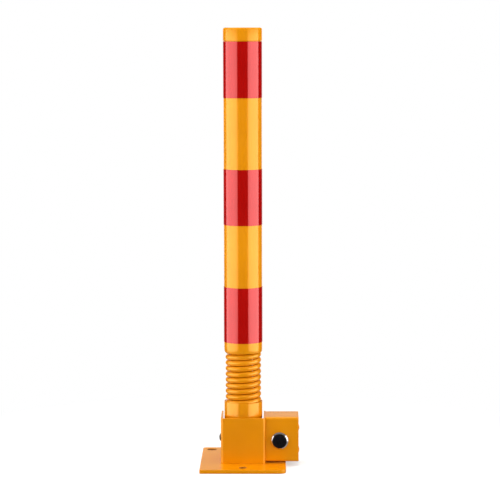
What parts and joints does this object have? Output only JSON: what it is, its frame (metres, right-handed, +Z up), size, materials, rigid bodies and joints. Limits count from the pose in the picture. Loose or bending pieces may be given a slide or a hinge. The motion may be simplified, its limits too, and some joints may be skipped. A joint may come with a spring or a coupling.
{
  "type": "fold-down security bollard",
  "caption": "Steel parking post on a coil spring, hinged in a folded bracket on an anchor plate so that it folds flat, with a key lock in a side housing and reflective bands.",
  "frame": {"origin": "underside of the base plate, directly under the post's axis", "axes": "+Z up the post, +X towards the lock housing, +Y to the back, where the post folds down to"},
  "size_m": [0.1554, 0.171, 0.6847],
  "materials": {
    "yellow_paint": "glossy powder coat",
    "red_film": "glossy reflective film",
    "chrome": "polished",
    "zinc_steel": "zinc plated",
    "brass": "machined",
    "black_plastic": "satin"
  },
  "bodies": {
    "base": {"base_plate": "yellow_paint", "hinge_bracket": "yellow_paint", "bracket_weld": "yellow_paint", "pivot_pin": "zinc_steel", "lock_housing": "yellow_paint", "housing_cover": "yellow_paint", "cover_lug_lower": "yellow_paint", "cover_lug_upper": "yellow_paint", "cover_screw_lower": "yellow_paint", "cover_screw_upper": "yellow_paint", "lock_body": "chrome", "lock_nut": "brass", "bolt_guide": "yellow_paint", "dust_cover_rivet": "black_plastic"},
    "stub": {"lower_stub": "yellow_paint", "pivot_sleeve": "yellow_paint", "lower_spring_seat": "yellow_paint"},
    "flex": {"coil_spring": "yellow_paint"},
    "post": {"post_tube": "yellow_paint", "upper_spring_seat": "yellow_paint", "top_cap": "yellow_paint", "tape_bottom": "red_film", "tape_middle": "red_film", "tape_top": "red_film"},
    "plug": {"lock_plug": "brass", "lock_cam": "zinc_steel", "cam_screw": "zinc_steel"},
    "bolt": {"lock_bolt": "zinc_steel"},
    "cover": {"dust_cover": "black_plastic"}
  },
  "joints": [
    {"name": "post_fold", "type": "hinge", "parent": "base", "child": "stub", "pos_m": [0, 0, 0.04], "axis": [-1, 0, 0], "range_deg": [0, 90]},
    {"name": "spring_bend_fore_aft", "type": "hinge", "parent": "stub", "child": "flex", "pos_m": [0, 0, 0.1186], "axis": [1, 0, 0], "range_deg": [-30, 30], "stiffness_Nm_per_rad": 34, "deforming": ["coil_spring"]},
    {"name": "spring_bend_sideways", "type": "hinge", "parent": "flex", "child": "post", "pos_m": [0, 0, 0.1578], "axis": [0, 1, 0], "range_deg": [-30, 30], "stiffness_Nm_per_rad": 34, "deforming": ["coil_spring"]},
    {"name": "key_turn", "type": "hinge", "parent": "base", "child": "plug", "pos_m": [0.057, -0.02, 0.041], "axis": [0, -1, 0], "range_deg": [0, 90]},
    {"name": "bolt_slide", "type": "slide", "parent": "base", "child": "bolt", "axis": [-1, 0, 0], "range_m": [0, 0.0113]},
    {"name": "dust_cover_swing", "type": "hinge", "parent": "base", "child": "cover", "pos_m": [0.057, -0.0376, 0.0496], "axis": [0, -1, 0], "range_deg": [-150, 150]}
  ],
  "couplings": [
    {"joint": "key_turn", "follows": "bolt_slide", "rad_per_m": 138.9}
  ]
}
